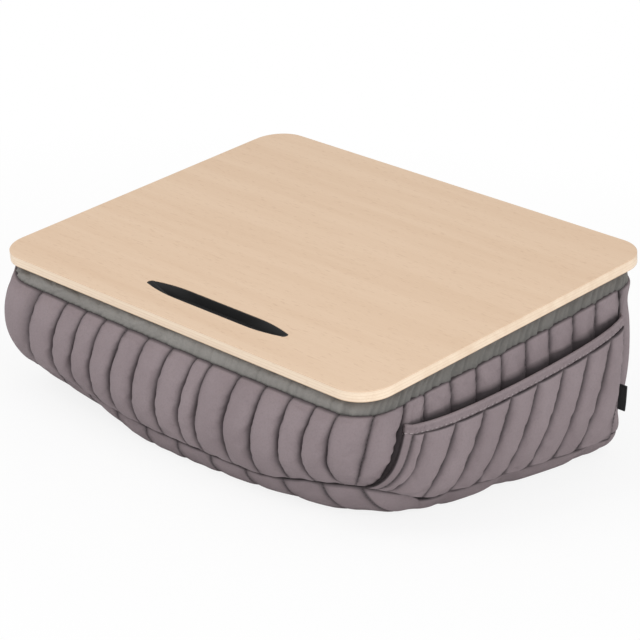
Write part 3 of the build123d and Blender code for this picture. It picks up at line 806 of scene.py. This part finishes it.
bottomXs = [base["pitch"] * (k - (base["lines"] - 1) / 2) for k in range(base["lines"])]
reach = float(seam["length"][0])
turns = np.linspace(0, pi / 2, 14)
rimX = reach - base["roll"] * (1 - np.cos(np.linspace(0.12, pi / 2, 12)))
stopsX = np.array([[-rimX[-1]] + bottomXs + [rimX[-1]]])
innerXs, innerShares = spaced(stopsX, [max(6, round(gap / base["step"])) for gap in np.diff(stopsX[0])])
columnXs = np.concatenate([-rimX[:-1], innerXs[0], rimX[-2::-1]])
columnShares = np.concatenate([0 * rimX[1:] + 0.5, innerShares, 0 * rimX[1:] + 0.5])
columns = []
for x in columnXs:
    past = max(0.0, (abs(x) - rimX[-1]) / base["roll"])
    lowest = math.sqrt(max(0.0, 1 - past ** 2))
    drops = (lowest * np.sin(turns))[:, None]
    shape = bottomShape(drops)
    front = placeAt(shape, wayAtX(shape, x))[1][:, 0]
    corner = np.clip(abs(x) - shape["length"] + wedge["backRadius"], 0, wedge["backRadius"])
    rear = shape["back"] - wedge["backBow"] - wedge["backRadius"]
    rear = rear + np.sqrt(wedge["backRadius"] ** 2 - corner ** 2)
    heights = (wedge["lowSeam"] - 0.3) * (1 - drops[:, 0])
    flat = front[-1] + (rear[-1, 0] - front[-1]) * np.linspace(0, 1, base["rows"])[1:-1]
    y = np.concatenate([front, flat, rear[::-1, 0]])
    z = np.concatenate([heights, 0 * flat + heights[-1], heights[::-1]])
    columns.append(np.stack([0 * y + x, y, z], -1))
bottomPoints = np.array(columns).transpose(1, 0, 2)
lift = base["grooveDepth"] * (1 - pillow(columnShares))[None, :]
depthShare = np.clip(bottomPoints[..., 2] / wedge["lowSeam"], 0, 1)
(aside, growth), (behind, fade) = base["heelSide"], base["heelBack"]
heel = base["heel"] * eased((-bottomPoints[..., 0] - aside) / growth) \
    * (1 - eased((bottomPoints[..., 1] + halfDepth - behind) / fade))
bottomPoints[..., 2] += (lift + heel) * (1 - depthShare) + 0.15 + cornerLift(bottomPoints) * depthShare
bottomHeld = np.zeros(bottomPoints.shape[:2])
bottomHeld[:, columnShares == 0] = 1
bottomHeld[[0, -1]] = 1
bottomInward = np.zeros_like(bottomPoints)
bottomInward[0, :, 1] = 1
bottomInward[-1, :, 1] = -1
bottomInward[:, 0, 0] = 1
bottomInward[:, -1, 0] = -1
bottomPiece = quiltedPiece("quiltedBottom", bottomPoints, bottomInward, bottomHeld, columnShares, 2.0, -1)
print("bottom panel made")


# Pocket on the right side: slanted channels under a bound hem
def pocketStops(shape):
    start = blendOf(wedge["cornerSeam"], shape["rise"]) - halfDepth + 2 * seamGap
    end = stretches(shape)[3] - seamGap
    foot = wedge["cornerSeam"][0] + pocket["firstLine"] - halfDepth + pocket["lean"] * shape["rise"]
    lines = [foot + pocket["pitch"] * k for k in range(pocket["lines"])]
    return np.stack([start, start + pocket["flange"]] + lines + [end - pocket["flange"], end])


stopCount = pocket["lines"] + 4
pocketCounts = [4] + [14] * (stopCount - 3) + [4]
pocketChannels, pocketShares = [], []
for channel, count in enumerate(pocketCounts):
    pocketChannels += [channel] * count
    pocketShares += [shareOf(number, count) for number in range(count)]
pocketChannels, pocketShares = np.array(pocketChannels + [stopCount - 1]), np.array(pocketShares + [0.0])


def pocketY(rises):   # the y of each column at its own rises
    stops = pocketStops(wallShape(rises))
    picks = np.broadcast_to(pocketChannels, rises.shape)[None]
    low = np.take_along_axis(stops, picks, 0)[0]
    high = np.take_along_axis(stops, np.minimum(picks + 1, len(stops) - 1), 0)[0]
    return low * (1 - pocketShares) + high * pocketShares


def risesBelowMouth(drop):
    tries = np.linspace(0.02, 0.999, 300)[:, None] * np.ones(len(pocketChannels))
    y = pocketY(tries)
    shape = wallShape(tries)
    over = shape["base"] + shape["tilt"] * y - mouthHeight(y) + drop
    first = np.argmax(over > 0, 0)
    picks = np.arange(len(pocketChannels))
    before, after = over[first - 1, picks], over[first, picks]
    return tries[first - 1, picks] + (tries[1, 0] - tries[0, 0]) * (-before) / (after - before)


def pocketPoints(rises, thickness, puffs):
    shape = wallShape(rises)
    y = pocketY(rises)
    stops = pocketStops(shape)
    start, end = stops[0], stops[-1]
    along = (2 * y - start - end) / (end - start)
    opening = pocket["gap"] * np.sin(pi / 2 * np.minimum(1, rises / pocket["fullShare"])) * (1 - along ** 6)
    stand = shape["sidePuff"] + 0.6 + opening
    seat = eased(np.minimum(y - start, end - y) / pocket["flange"])
    out = 0.3 + (stand - 0.3) * seat + thickness + puffs
    return pointsAt(shape, wayAtY(shape, y), out)


topRise = risesBelowMouth(pocket["hemDepth"] - 1.0)
pocketRises = seated(pocket["rows"])[:, None] * topRise
stuffed = (pocketChannels > 0) & (pocketChannels < stopCount - 2)
fullPuff = np.sqrt(np.sin(pi * (0.08 + pocketRises * 0.8)))
puffs = np.where(stuffed, pillow(pocketShares), 0) * pocket["puff"] * fullPuff
sunk = np.sin(pi * np.linspace(0.02, 0.98, pocket["rows"]))[:, None]
puffs = puffs - np.where(stuffed, 1 - pillow(pocketShares), 0) * pocket["valley"] * sunk
panelPoints = pocketPoints(pocketRises, pocket["wall"], puffs)
panelPoints[..., 2] += cornerLift(panelPoints) * (1 - pocketRises) ** 1.5
pocketHeld = np.zeros(panelPoints.shape[:2])
pocketHeld[:, (pocketShares == 0) | ~stuffed] = 1
pocketHeld[[0, -1]] = 1
pocketInward = np.zeros_like(panelPoints)
pocketInward[..., 0] = -1
quiltPocket = quiltedPiece("quiltedPocket", panelPoints, pocketInward, pocketHeld, pocketShares, 2.5,
                           tuck=pocket["tuck"])


def soften(v):   # a sine or cosine that makes a round section squarer
    return np.sign(v) * np.abs(v) ** 0.6


hemTurns = np.linspace(0, 2 * pi, 16, endpoint=False)
hemRows = []
for turn in hemTurns:
    drop = pocket["hemDepth"] / 2 * (1 + soften(math.sin(turn)))
    rises = risesBelowMouth(drop)[None, :]
    across = pocket["hemWall"] / 2 * (1 + soften(math.cos(turn)))
    hemRows.append(pocketPoints(rises, across, 0)[0])
hemGrid = np.array(hemRows)
hemColumns = hemGrid.shape[1]
(deep, shallow), (quick, slow) = pocket["hemRipple"], pocket["hemWaves"]
ripple = deep * np.sin(np.arange(hemColumns) * quick) + shallow * np.sin(np.arange(hemColumns) * slow + 1)
hemGrid[..., 0] += ripple * np.clip(np.cos(hemTurns), 0, 1)[:, None]
hemFaces = gridFaces(len(hemTurns), hemColumns)
last = (len(hemTurns) - 1) * hemColumns
hemFaces += [(last + c, last + c + 1, c + 1, c) for c in range(hemColumns - 1)]
hemEnd = [r * hemColumns for r in range(len(hemTurns))]
hemFaces += [hemEnd, [k + hemColumns - 1 for k in reversed(hemEnd)]]
hemPiece = sheetOf("pocketHem", hemGrid, [face[::-1] for face in hemFaces], quiltPaint)
hemStitchRises = risesBelowMouth(pocket["hemDepth"] - pocket["hemStitch"])[None, :]
hemStitches = pocketPoints(hemStitchRises, pocket["hemWall"] + 0.1, 0)[0] * mm
print("pocket made")


# Cloth run
stuffing = {
    "quality": 5,
    "mass": 0.25,
    "tension_stiffness": 14.0,
    "compression_stiffness": 14.0,
    "shear_stiffness": 7.0,
    "bending_stiffness": 0.4,
    "tension_damping": 25,
    "compression_damping": 25,
    "air_damping": 5,
    "use_pressure": True,
    "uniform_pressure_force": 5.0,
    "shrink_min": -0.035,            # so the cloth grows
    "vertex_group_mass": "stitched",
}
frames = 18
clearance = 0.0002   # metres over the table


def swell(pieces):
    start = {}
    for piece, pins, cap in pieces:
        group = piece.vertex_groups.new(name="stitched")
        group.add([int(k) for k in np.flatnonzero(pins >= 1)], 1.0, "REPLACE")
        cloth = piece.modifiers.new("swell", "CLOTH")
        for key, value in stuffing.items():
            setattr(cloth.settings, key, value)
        cloth.settings.effector_weights.gravity = 0
        cloth.point_cache.frame_end = frames
        start[piece.name] = vectorsOf(piece.data)
    for number in range(1, frames + 1):
        bpy.context.scene.frame_set(number)
    graph = bpy.context.evaluated_depsgraph_get()
    for piece, pins, cap in pieces:
        rest = start[piece.name]
        shift = vectorsOf(piece.evaluated_get(graph).data) - rest
        size = np.linalg.norm(shift, axis=1, keepdims=True)
        print(piece.name, "moved at most", round(float(size.max()) / mm, 2), "mm")
        limit = cap * mm
        shift *= np.where(size > 1e-9, limit * np.tanh(size / limit) / np.maximum(size, 1e-9), 0)
        points = rest + shift
        points[:, 2] = np.maximum(points[:, 2], clearance)
        for modifier in list(piece.modifiers):
            piece.modifiers.remove(modifier)
        piece.data.vertices.foreach_set("co", points.ravel())
        piece.data.update()
    bpy.context.scene.frame_set(1)


swell(swelling)
print("cloth run done")


def thicken(piece, depth, levels=1):
    shell = piece.modifiers.new("thickness", "SOLIDIFY")
    shell.thickness = depth * mm
    shell.offset = -1
    if levels:
        smooth = piece.modifiers.new("smooth", "SUBSURF")
        smooth.levels = smooth.render_levels = levels


for piece, node in ((quiltPocket, "pocket_panel"), (quiltFront, "front_band"), (quiltRight, "right_band"),
                    (quiltLeft, "left_band"), (quiltBack, "back_band"), (bottomPiece, "bottom_panel"),
                    (topPiece, "top_panel")):
    depth = pocket["thickness"] if node == "pocket_panel" else quilt["thickness"]
    thicken(piece, depth, 0 if node == "top_panel" else 1)
    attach(piece, "cushion")
    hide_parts(node)

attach(hemPiece, "cushion")
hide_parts("pocket_hem")


def treeOf(name, sockets):
    tree = bpy.data.node_groups.new(name, "GeometryNodeTree")
    tree.interface.new_socket(name="Geometry", in_out="OUTPUT", socket_type="NodeSocketGeometry")
    tree.interface.new_socket(name="Geometry", in_out="INPUT", socket_type="NodeSocketGeometry")
    for label, kind in sockets:
        tree.interface.new_socket(name=label, in_out="INPUT", socket_type=kind)
    return tree, tree.nodes.new("NodeGroupInput").outputs, tree.nodes.new("NodeGroupOutput").inputs


def step(tree, kind, settings=None, links=None):
    made = tree.nodes.new(kind)
    for key, value in (settings or {}).items():
        setattr(made, key, value)
    for key, value in (links or {}).items():
        if hasattr(value, "links"):
            tree.links.new(value, made.inputs[key])
        else:
            made.inputs[key].default_value = value
    return made.outputs


def inRow(tree, given, result, paint, **item):   # one item after another along the given lines
    line = step(tree, "GeometryNodeMeshToCurve", None, {"Mesh": given["Geometry"]})
    spread = step(tree, "GeometryNodeResampleCurve", {"mode": "LENGTH"},
                  {"Curve": line[0], "Length": given["Pitch"]})
    placed = step(tree, "GeometryNodeInstanceOnPoints", None, {"Points": spread[0], **item})
    real = step(tree, "GeometryNodeRealizeInstances", None, {"Geometry": placed[0]})
    dyed = step(tree, "GeometryNodeSetMaterial", None, {"Geometry": real[0], "Material": paint})
    tree.links.new(dyed[0], result[0])


def grown(name, lines, tree, values):   # the tree's result along some lines, as a plain mesh
    points, edges = [], []
    for path in lines:
        edges += [(len(points) + k, len(points) + k + 1) for k in range(len(path) - 1)]
        points += [tuple(point) for point in path]
    guide = bpy.data.meshes.new(name + "Guide")
    guide.from_pydata(points, edges, [])
    holder = linked(name + "Guide", guide)
    grow = holder.modifiers.new("grow", "NODES")
    grow.node_group = tree
    for item in tree.interface.items_tree:
        if item.name in values:
            grow[item.identifier] = values[item.name]
    graph = bpy.context.evaluated_depsgraph_get()
    mesh = bpy.data.meshes.new_from_object(holder.evaluated_get(graph))
    bpy.data.objects.remove(holder)
    mesh.polygons.foreach_set("use_smooth", [True] * len(mesh.polygons))
    return linked(name, mesh)


# Inner bag: plain cloth round the filling, seen only where the cover is open
bag = {
    "inset": 15.0,
    "floor": 16.0,
    "top": 26.0,          # under the board's face
    "columns": 120,
    "lowRing": 0.96,      # of the bag's length and depth
    "highRing": 0.93,
}
bagRise = np.linspace(0, 1, 12)[:, None]
bagShape = wallShape(bagRise)
bagWays = np.linspace(0, 2, bag["columns"], endpoint=False)[None, :] * halfWay(bagShape)
bagGrid = pointsAt(bagShape, bagWays, 0 * bagWays - bag["inset"])
bagGrid[..., 2] += cornerLift(bagGrid) * (1 - bagRise)
lowRing = bagGrid[:1] * [bag["lowRing"], bag["lowRing"], 0] + [0, 0, bag["floor"]]
highRing = bagGrid[-1:] * [bag["highRing"], bag["highRing"], 0]
highRing[..., 2] = centreHeight - bag["top"] / math.cos(slope) + math.tan(slope) * highRing[..., 1]
bagGrid = np.concatenate([lowRing + [0, 0, 1] * cornerLift(lowRing)[..., None], bagGrid, highRing])
bagRows = len(bagGrid)
bagFaces = gridFaces(bagRows, bag["columns"], True)
for ring, hand in ((0, -1), (bagRows - 1, 1)):
    bagFaces.append([ring * bag["columns"] + c for c in range(bag["columns"])][::hand])
bagPoints = bagGrid.reshape(-1, 3) * mm
innerBag = meshOf("innerBag", bagPoints, bagFaces, innerPaint, bagPoints[:, :2])
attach(innerBag, "cushion")
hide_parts("inner_bag", "bead_filling")


# Folded ribbon in the seam behind the pocket
tag = {
    "low": 53.0,
    "height": 26.0,
    "reach": 9.6,
    "halfFold": 0.85,
    "seat": (262.4, 162.0),    # x and y where it leaves the seam
    "thickness": 0.6,
}
arc = np.linspace(-pi / 2, pi / 2, 9)
depth = tag["reach"] - tag["halfFold"]
straight = np.linspace(0, depth, 9)[:-1]
foldX = np.concatenate([straight, depth + tag["halfFold"] * np.cos(arc), straight[::-1]])
foldY = tag["halfFold"] * np.concatenate([0 * straight - 1, np.sin(arc), 0 * straight + 1])
levels = np.linspace(0, tag["height"], 12)[:, None]
bow = 0.25 * np.sin(levels / tag["height"] * pi * 1.4)
tagX, tagY = tag["seat"][0] + foldX, tag["seat"][1] + foldY + bow * foldX / 8
tagGrid = together(tagX, tagY, tag["low"] + levels)
tagPiece = sheetOf("sideTag", tagGrid, gridFaces(12, len(foldX)), tagPaint)
thicken(tagPiece, tag["thickness"], 1)
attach(tagPiece, "cushion")
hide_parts("side_tag")


# Zip tapes and teeth, low on the back
zipper = {
    "length": 354.0,
    "tapeWidth": 10.3,
    "toothReach": 2.8,
    "seat": 191.87,
    "height": 41.0,
    "toothPitch": 5.0,
    "toothSize": (3.2, 2.0, 2.3),
    "toothSeat": 192.25,
    "teeth": 68,              # in each row
    "slit": 0.1,
    "proud": 0.62,            # of a tape's outer face over its seat
    "thickness": 0.6,
}
upper = zipper["height"] + zipper["toothReach"] + zipper["slit"]
lower = zipper["height"] - zipper["toothReach"] - zipper["slit"] - zipper["tapeWidth"]
for name, node, low in (("zipTapeUpper", "zip_tape_upper", upper), ("zipTapeLower", "zip_tape_lower", lower)):
    run = np.linspace(-zipper["length"] / 2, zipper["length"] / 2, 90)[None, :]
    level = np.linspace(0, zipper["tapeWidth"], 7)[:, None]
    ease = 0.06 * np.sin(run * 0.11) * np.sin(level / zipper["tapeWidth"] * pi)
    tapeGrid = together(run, zipper["seat"] + zipper["proud"] + ease, low + level)
    tape = sheetOf(name, tapeGrid, gridFaces(7, 90, hand=-1), tapePaint)
    thicken(tape, zipper["thickness"], 0)
    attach(tape, "cushion")
    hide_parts(node)

toothTree, given, result = treeOf("row of teeth", [("Pitch", "NodeSocketFloat"), ("Size", "NodeSocketVector"),
                                                   ("Plastic", "NodeSocketMaterial")])
block = step(toothTree, "GeometryNodeMeshCube", None, {"Size": given["Size"]})
rounded = step(toothTree, "GeometryNodeSubdivisionSurface", None,
               {"Mesh": block[0], "Level": 2, "Edge Crease": 0.72})
inRow(toothTree, given, result, given["Plastic"], Instance=rounded[0])
toothLines = []
for hand, shift in ((1, 0.0), (-1, zipper["toothPitch"] / 4)):
    start = shift - (zipper["teeth"] - 1) * zipper["toothPitch"] / 2 - 0.5
    end = start + (zipper["teeth"] - 1) * zipper["toothPitch"] + 0.01
    level = zipper["height"] + hand * (zipper["toothReach"] - zipper["toothSize"][2] / 2)
    toothLines.append([(x * mm, zipper["toothSeat"] * mm, level * mm) for x in (start, end)])
teeth = grown("zipTeeth", toothLines, toothTree,
              {"Pitch": zipper["toothPitch"] * mm, "Size": [v * mm for v in zipper["toothSize"]],
               "Plastic": zipPlasticPaint})
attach(teeth, "cushion")
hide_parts("zip_teeth")
print("bag, tag and zip made")

# Stitches, one small thread after another along each line
thread = {
    "pitch": 0.0042,
    "length": 0.0029,
    "width": 0.0007,
    "lift": 0.0003,       # off the cloth
    "hemPitch": 1.25,     # times the pitch
}
stitchTree, given, result = treeOf("row of stitches", [
    ("Pitch", "NodeSocketFloat"), ("Length", "NodeSocketFloat"), ("Width", "NodeSocketFloat"),
    ("Thread", "NodeSocketMaterial")])
tangent = step(stitchTree, "GeometryNodeInputTangent")
aimed = step(stitchTree, "FunctionNodeAlignEulerToVector", {"axis": "Z"}, {"Vector": tangent[0]})
size = step(stitchTree, "ShaderNodeCombineXYZ", None,
            {"X": given["Width"], "Y": given["Width"], "Z": given["Length"]})
bead = step(stitchTree, "GeometryNodeMeshUVSphere", None, {"Segments": 6, "Rings": 4, "Radius": 0.5})
inRow(stitchTree, given, result, given["Thread"], Instance=bead[0], Rotation=aimed[0], Scale=size[0])


def stitchLines(piece, rows, columns, lines):
    points = vectorsOf(piece.data) + vectorsOf(piece.data, "normal") * thread["lift"]
    grid = points.reshape(rows, columns, 3)
    return [grid[2:-2, c] for c in lines]


paths = []
for item in sewn:
    paths += stitchLines(*item)
for name, lines, dye, stretch in (("quiltStitches", paths, threadPaint, 1),
                                  ("hemStitches", [hemStitches], hemThreadPaint, thread["hemPitch"])):
    row = grown(name, lines, stitchTree, {"Pitch": thread["pitch"] * stretch, "Length": thread["length"],
                                          "Width": thread["width"], "Thread": dye})
    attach(row, "cushion")
print("stitches made")

# Hook tapes under the board and loop tapes on the cushion, a backing and rows of pile each
tapes = {
    "length": 110.0,
    "width": 25.0,
    "thickness": 0.8,       # each, pile and all
    "backing": 0.35,
    "edgeDistance": 62.0,
    "endDistance": 95.0,
    "selvedge": 1.6,
    "rowPitch": 1.7,
    "stagger": 0.8,         # every second row starts this far on
    "wave": 0.03,
    "gap": 0.04,
}


def underBoard(x, along, depth):   # a point at a depth under the board's face
    return together(x, along * math.cos(slope) + depth * math.sin(slope),
                    centreHeight + along * math.sin(slope) - depth * math.cos(slope))


halfTape = (tapes["length"] / 2, tapes["width"] / 2)
boardDepth = wedge["padDepth"] - 2 * tapes["thickness"]
on = tapes["stagger"]
# Its body, what carries it, the backing's and the pile's depth under the board, the side it faces, and the
# pile's pitch, length and width
for kind, body, carrier, backing, surface, hand, (pitch, length, width) in (
        ("hook", "board", "back_veneer", 0.0, 0.5, 1, (0.0017, 0.0006, 0.00055)),
        ("loop", "cushion", "top_panel", 2 * tapes["thickness"], 1.1, -1, (0.0019, 0.0015, 0.00055))):
    pileLines = []
    for number, (side, end) in enumerate(((-1, -1), (-1, 1), (1, -1), (1, 1)), 1):
        x = side * (halfLength - tapes["endDistance"])
        y = end * (wedge["boardDepth"] / 2 - tapes["edgeDistance"])
        across = np.linspace(-halfTape[1], halfTape[1], 9)[:, None] + y
        along = np.linspace(-halfTape[0], halfTape[0], 40)[None, :] + x
        wave = tapes["wave"] * np.sin(along * 0.3 + number)
        grid = underBoard(along, across, boardDepth + backing + wave * hand + tapes["gap"] * hand)
        strip = sheetOf(f"{kind}Strip{number}", grid, gridFaces(9, 40, hand=-hand), stripPaint)
        thicken(strip, -tapes["backing"], 0)
        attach(strip, body)
        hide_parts(f"{kind}_strip_{number}")
        rows = np.arange(-halfTape[1] + tapes["selvedge"], halfTape[1] - tapes["selvedge"], tapes["rowPitch"])
        for k, row in enumerate(rows):
            ends = np.array([-halfTape[0] + on + on * (k % 2), halfTape[0] - 2 * on + on * (k % 2)])
            pileLines.append(underBoard(x + ends, y + row, boardDepth + surface) * mm)
    pile = grown(kind + "Pile", pileLines, stitchTree,
                 {"Pitch": pitch, "Length": length, "Width": width, "Thread": stripPaint})
    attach(pile, body)
print("hook and loop tapes made")

# Board and hardware keep their solids
finishes = {
    "face_veneer": facePaint,
    "board_core": edgePaint,
    "back_veneer": facePaint,
    "slot_liner": linerPaint,
    "zip_stops": zipPlasticPaint,
    "zip_slider": zipMetalPaint,
    "zip_puller": zipMetalPaint,
}
for name, paint in finishes.items():
    solid = nodes[name]
    for place in solid.material_slots:
        place.material = paint
    if not solid.material_slots:
        solid.data.materials.append(paint)
print("board and hardware finished")


# Floor, backdrop and light
studio = {
    "floor": 6.0,
    "sky": 0.64,
    "near": 0.85,             # how much of its own white the floor shows under the tray
    "whiten": (0.3, 1.1),     # where that starts to grow to the whole, and where it ends
    "key": (2.6, (-0.9, -1.9, 2.2), 1.6),    # strength in tens of watts, place, size
    "fill": (2.6, (2.4, -0.7, 1.3), 1.8),
}
floorData = bpy.data.meshes.new("floor")
half = studio["floor"]
corners = [(-half, -half, 0), (half, -half, 0), (half, half, 0), (-half, half, 0)]
floorData.from_pydata(corners, [], [(0, 1, 2, 3)])
floor = linked("floor", floorData)
p = Paint("pale floor")
seen = p.node("ShaderNodeLightPath", output="Is Camera Ray")
matt = p.node("ShaderNodeBsdfDiffuse", None, {"Color": (0.9, 0.9, 0.9, 1)})
glow = p.node("ShaderNodeEmission", None, {"Color": (1, 1, 1, 1), "Strength": 1.0})
x, y, z = p.parts(p.place())
far = p.between((x * x + y * y) ** 0.5, *studio["whiten"])
shown = seen * (studio["near"] + (1 - studio["near"]) * far)
mixed = p.node("ShaderNodeMixShader", None, {0: shown, 1: matt, 2: glow})
p.node("ShaderNodeOutputMaterial", None, {0: mixed})
floorData.materials.append(p.owner)
floor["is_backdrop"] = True

world = bpy.data.worlds.new("studio")
bpy.context.scene.world = world
w = Paint("studio", world)
seen = w.node("ShaderNodeLightPath", output="Is Camera Ray")
room = w.node("ShaderNodeBackground", None, {"Color": (1, 1, 1, 1), "Strength": studio["sky"]})
white = w.node("ShaderNodeBackground", None, {"Color": (1, 1, 1, 1), "Strength": 1.0})
mixed = w.node("ShaderNodeMixShader", None, {0: seen, 1: room, 2: white})
w.node("ShaderNodeOutputWorld", None, {0: mixed})
for name in ("key", "fill"):
    power, place, size = studio[name]
    lamp = bpy.data.lights.new(name, "AREA")
    lamp.energy = power * 10
    lamp.shape = "DISK"
    lamp.size = size
    lampObject = linked(name, lamp)
    lampObject.location = place
    lampObject.rotation_euler = (Vector((0, 0, 0.1)) - Vector(place)).to_track_quat("-Z", "Y").to_euler()
bpy.context.scene.view_settings.view_transform = "Standard"
print("studio lit")

low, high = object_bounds()
